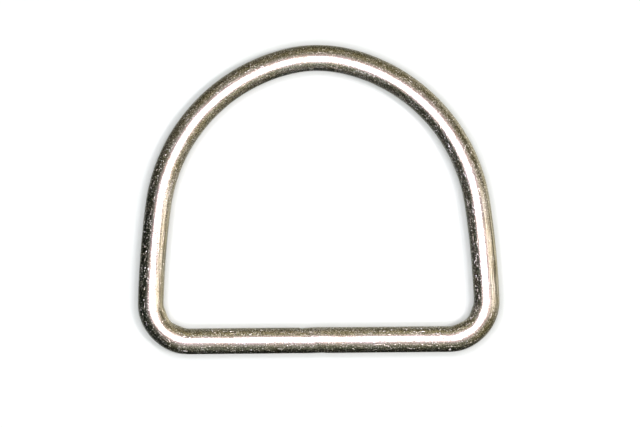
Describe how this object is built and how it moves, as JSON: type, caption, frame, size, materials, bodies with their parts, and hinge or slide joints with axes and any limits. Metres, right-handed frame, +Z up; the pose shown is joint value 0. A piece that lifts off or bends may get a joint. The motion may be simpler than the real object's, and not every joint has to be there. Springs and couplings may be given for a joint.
{
  "type": "d ring",
  "caption": "Closed D-shaped ring of round steel wire with a straight bar for a strap and an arch for a hook or second strap.",
  "frame": {"origin": "middle of the ring's outline, on the surface that it lies on", "axes": "+X along the straight bar, +Y from the bar to the crown of the arch, +Z up from the surface"},
  "size_m": [0.0452, 0.0384, 0.0032],
  "materials": {
    "ring": "barrel-plated nickel on steel wire, bright with a fine sandy grain"
  },
  "bodies": {
    "root": {"ring": "ring"}
  },
  "joints": []
}
